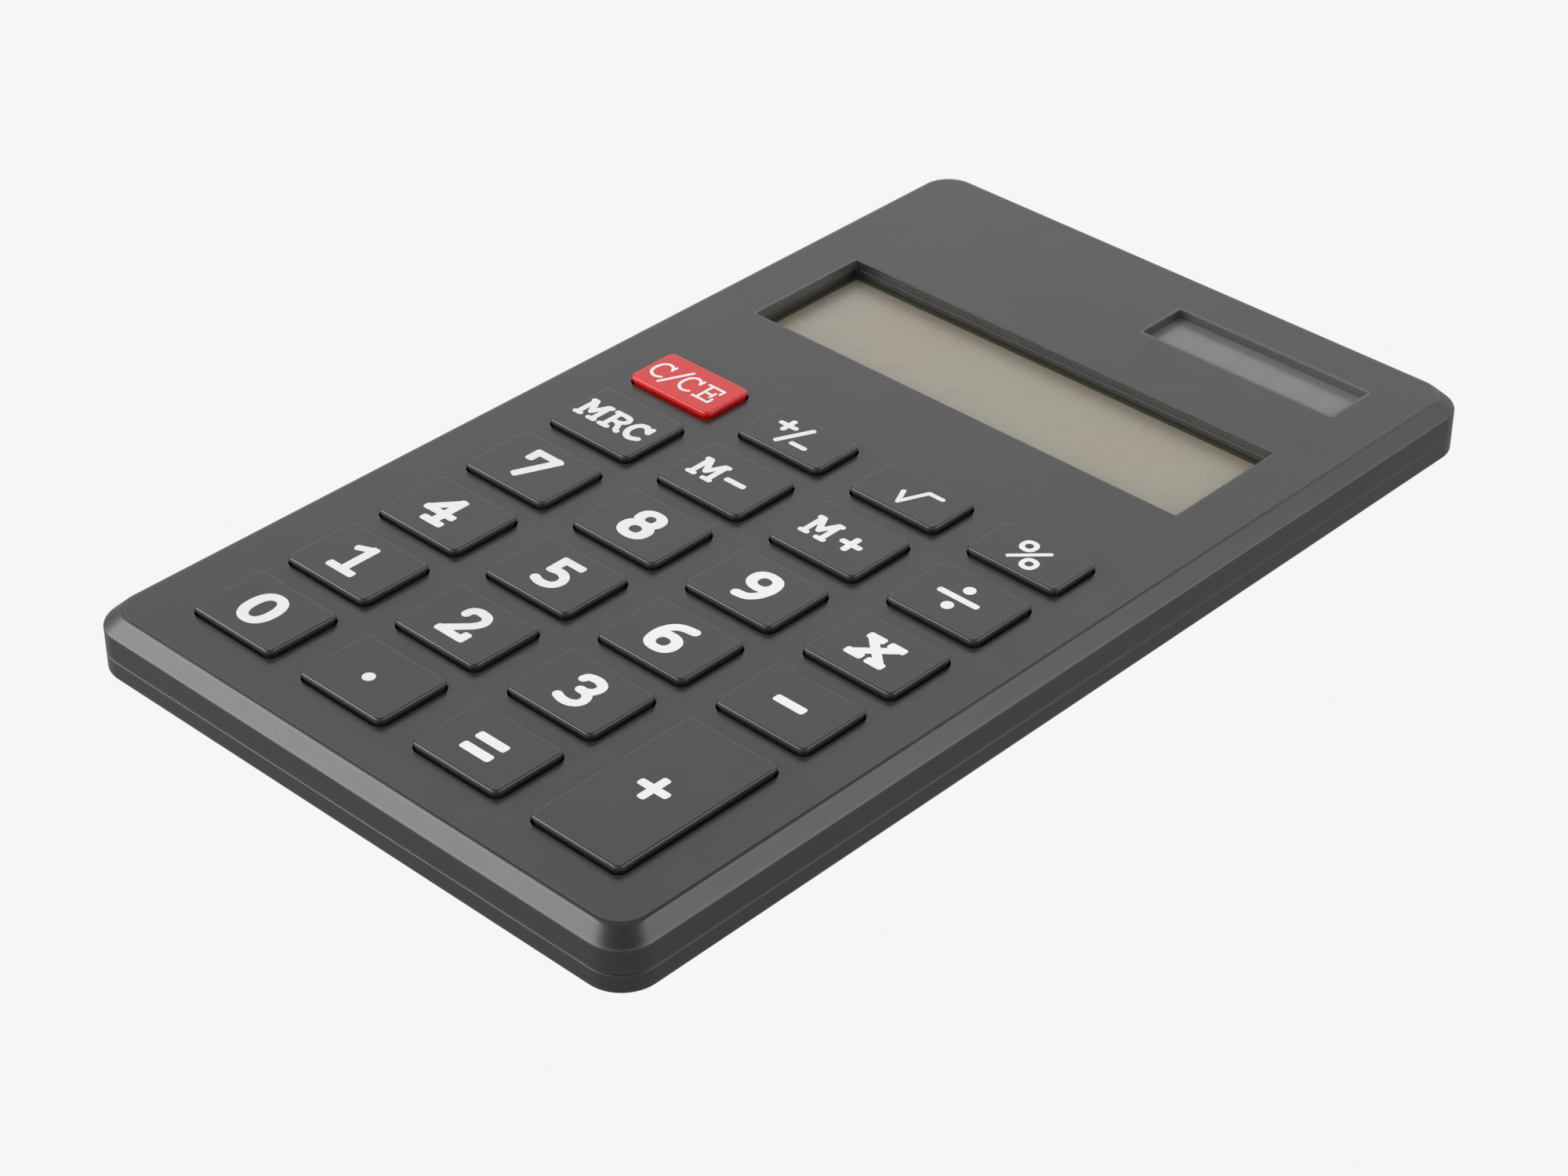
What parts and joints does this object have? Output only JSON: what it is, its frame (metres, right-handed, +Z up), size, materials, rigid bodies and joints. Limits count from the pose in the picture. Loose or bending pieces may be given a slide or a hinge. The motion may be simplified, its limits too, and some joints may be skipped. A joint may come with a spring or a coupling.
{
  "type": "desk calculator",
  "caption": "Flat desk calculator with a chamfered two-shell case, sprung keys, a display behind a clear window and a solar cell.",
  "frame": {"origin": "on the surface the calculator stands on, below the middle of the case", "axes": "+Z up out of the keys, +Y from the keypad towards the display, +X to the calculator's right"},
  "size_m": [0.094, 0.1596, 0.0098],
  "materials": {
    "case_plastic": "fine spark-eroded texture, dark grey ABS",
    "key_plastic": "satin moulded dark grey ABS",
    "red_key_plastic": "satin moulded red ABS",
    "clear_window": "clear moulded acrylic",
    "display_glass": "grey-green polariser over glass",
    "black_plastic": "matt black",
    "solar_surface": "amorphous silicon cell behind glass",
    "silicone_rubber": "matt grey silicone",
    "circuit_board": "green solder mask",
    "black_epoxy": "poured epoxy",
    "capacitor_case": "tan resin",
    "nickel_plate": "nickel plated",
    "zinc_plated_steel": "zinc plated",
    "ribbon_film": "amber polyimide film",
    "red_insulation": "smooth PVC",
    "black_insulation": "smooth PVC",
    "black_rubber": "matt rubber"
  },
  "bodies": {
    "case": {"front_shell": "case_plastic", "back_shell": "case_plastic", "lcd_window": "clear_window", "solar_cell": "solar_surface", "lcd_glass": "display_glass", "lcd_frame": "black_plastic", "lcd_tray": "black_plastic", "lcd_ribbon": "ribbon_film", "keypad_mat": "silicone_rubber", "main_board": "circuit_board", "processor_chip": "black_epoxy", "capacitor": "capacitor_case", "resonator": "zinc_plated_steel", "solar_wire_plus": "red_insulation", "solar_wire_minus": "black_insulation", "battery_cell": "nickel_plate", "battery_contact_plus": "nickel_plate", "battery_contact_minus": "nickel_plate", "battery_wire_plus": "red_insulation", "battery_wire_minus": "black_insulation", "battery_cover": "case_plastic", "battery_cover_screw": "zinc_plated_steel", "foot_front_left": "black_rubber", "foot_rear_left": "black_rubber", "foot_front_right": "black_rubber", "foot_rear_right": "black_rubber", "case_screw_front_left": "zinc_plated_steel", "case_screw_middle_left": "zinc_plated_steel", "case_screw_rear_left": "zinc_plated_steel", "case_screw_front_right": "zinc_plated_steel", "case_screw_middle_right": "zinc_plated_steel", "case_screw_rear_right": "zinc_plated_steel", "board_screw_front_left": "zinc_plated_steel", "board_screw_rear_left": "zinc_plated_steel", "board_screw_front_right": "zinc_plated_steel", "board_screw_rear_right": "zinc_plated_steel"},
    "key_clear": {"key_clear": "red_key_plastic"},
    "key_sign": {"key_sign": "key_plastic"},
    "key_square_root": {"key_square_root": "key_plastic"},
    "key_percent": {"key_percent": "key_plastic"},
    "key_memory_recall": {"key_memory_recall": "key_plastic"},
    "key_memory_minus": {"key_memory_minus": "key_plastic"},
    "key_memory_plus": {"key_memory_plus": "key_plastic"},
    "key_divide": {"key_divide": "key_plastic"},
    "key_7": {"key_7": "key_plastic"},
    "key_8": {"key_8": "key_plastic"},
    "key_9": {"key_9": "key_plastic"},
    "key_multiply": {"key_multiply": "key_plastic"},
    "key_4": {"key_4": "key_plastic"},
    "key_5": {"key_5": "key_plastic"},
    "key_6": {"key_6": "key_plastic"},
    "key_minus": {"key_minus": "key_plastic"},
    "key_1": {"key_1": "key_plastic"},
    "key_2": {"key_2": "key_plastic"},
    "key_3": {"key_3": "key_plastic"},
    "key_plus": {"key_plus": "key_plastic"},
    "key_0": {"key_0": "key_plastic"},
    "key_point": {"key_point": "key_plastic"},
    "key_equals": {"key_equals": "key_plastic"}
  },
  "joints": [
    {"name": "press_clear", "type": "slide", "parent": "case", "child": "key_clear", "axis": [0, 0, -1], "range_m": [0, 0.0008], "stiffness_N_per_m": 500, "springref_m": -0.0003, "deforming": ["keypad_mat"]},
    {"name": "press_sign", "type": "slide", "parent": "case", "child": "key_sign", "axis": [0, 0, -1], "range_m": [0, 0.0008], "stiffness_N_per_m": 500, "springref_m": -0.0003, "deforming": ["keypad_mat"]},
    {"name": "press_square_root", "type": "slide", "parent": "case", "child": "key_square_root", "axis": [0, 0, -1], "range_m": [0, 0.0008], "stiffness_N_per_m": 500, "springref_m": -0.0003, "deforming": ["keypad_mat"]},
    {"name": "press_percent", "type": "slide", "parent": "case", "child": "key_percent", "axis": [0, 0, -1], "range_m": [0, 0.0008], "stiffness_N_per_m": 500, "springref_m": -0.0003, "deforming": ["keypad_mat"]},
    {"name": "press_memory_recall", "type": "slide", "parent": "case", "child": "key_memory_recall", "axis": [0, 0, -1], "range_m": [0, 0.0008], "stiffness_N_per_m": 500, "springref_m": -0.0003, "deforming": ["keypad_mat"]},
    {"name": "press_memory_minus", "type": "slide", "parent": "case", "child": "key_memory_minus", "axis": [0, 0, -1], "range_m": [0, 0.0008], "stiffness_N_per_m": 500, "springref_m": -0.0003, "deforming": ["keypad_mat"]},
    {"name": "press_memory_plus", "type": "slide", "parent": "case", "child": "key_memory_plus", "axis": [0, 0, -1], "range_m": [0, 0.0008], "stiffness_N_per_m": 500, "springref_m": -0.0003, "deforming": ["keypad_mat"]},
    {"name": "press_divide", "type": "slide", "parent": "case", "child": "key_divide", "axis": [0, 0, -1], "range_m": [0, 0.0008], "stiffness_N_per_m": 500, "springref_m": -0.0003, "deforming": ["keypad_mat"]},
    {"name": "press_7", "type": "slide", "parent": "case", "child": "key_7", "axis": [0, 0, -1], "range_m": [0, 0.0008], "stiffness_N_per_m": 500, "springref_m": -0.0003, "deforming": ["keypad_mat"]},
    {"name": "press_8", "type": "slide", "parent": "case", "child": "key_8", "axis": [0, 0, -1], "range_m": [0, 0.0008], "stiffness_N_per_m": 500, "springref_m": -0.0003, "deforming": ["keypad_mat"]},
    {"name": "press_9", "type": "slide", "parent": "case", "child": "key_9", "axis": [0, 0, -1], "range_m": [0, 0.0008], "stiffness_N_per_m": 500, "springref_m": -0.0003, "deforming": ["keypad_mat"]},
    {"name": "press_multiply", "type": "slide", "parent": "case", "child": "key_multiply", "axis": [0, 0, -1], "range_m": [0, 0.0008], "stiffness_N_per_m": 500, "springref_m": -0.0003, "deforming": ["keypad_mat"]},
    {"name": "press_4", "type": "slide", "parent": "case", "child": "key_4", "axis": [0, 0, -1], "range_m": [0, 0.0008], "stiffness_N_per_m": 500, "springref_m": -0.0003, "deforming": ["keypad_mat"]},
    {"name": "press_5", "type": "slide", "parent": "case", "child": "key_5", "axis": [0, 0, -1], "range_m": [0, 0.0008], "stiffness_N_per_m": 500, "springref_m": -0.0003, "deforming": ["keypad_mat"]},
    {"name": "press_6", "type": "slide", "parent": "case", "child": "key_6", "axis": [0, 0, -1], "range_m": [0, 0.0008], "stiffness_N_per_m": 500, "springref_m": -0.0003, "deforming": ["keypad_mat"]},
    {"name": "press_minus", "type": "slide", "parent": "case", "child": "key_minus", "axis": [0, 0, -1], "range_m": [0, 0.0008], "stiffness_N_per_m": 500, "springref_m": -0.0003, "deforming": ["keypad_mat"]},
    {"name": "press_1", "type": "slide", "parent": "case", "child": "key_1", "axis": [0, 0, -1], "range_m": [0, 0.0008], "stiffness_N_per_m": 500, "springref_m": -0.0003, "deforming": ["keypad_mat"]},
    {"name": "press_2", "type": "slide", "parent": "case", "child": "key_2", "axis": [0, 0, -1], "range_m": [0, 0.0008], "stiffness_N_per_m": 500, "springref_m": -0.0003, "deforming": ["keypad_mat"]},
    {"name": "press_3", "type": "slide", "parent": "case", "child": "key_3", "axis": [0, 0, -1], "range_m": [0, 0.0008], "stiffness_N_per_m": 500, "springref_m": -0.0003, "deforming": ["keypad_mat"]},
    {"name": "press_plus", "type": "slide", "parent": "case", "child": "key_plus", "axis": [0, 0, -1], "range_m": [0, 0.0008], "stiffness_N_per_m": 500, "springref_m": -0.0003, "deforming": ["keypad_mat"]},
    {"name": "press_0", "type": "slide", "parent": "case", "child": "key_0", "axis": [0, 0, -1], "range_m": [0, 0.0008], "stiffness_N_per_m": 500, "springref_m": -0.0003, "deforming": ["keypad_mat"]},
    {"name": "press_point", "type": "slide", "parent": "case", "child": "key_point", "axis": [0, 0, -1], "range_m": [0, 0.0008], "stiffness_N_per_m": 500, "springref_m": -0.0003, "deforming": ["keypad_mat"]},
    {"name": "press_equals", "type": "slide", "parent": "case", "child": "key_equals", "axis": [0, 0, -1], "range_m": [0, 0.0008], "stiffness_N_per_m": 500, "springref_m": -0.0003, "deforming": ["keypad_mat"]}
  ]
}
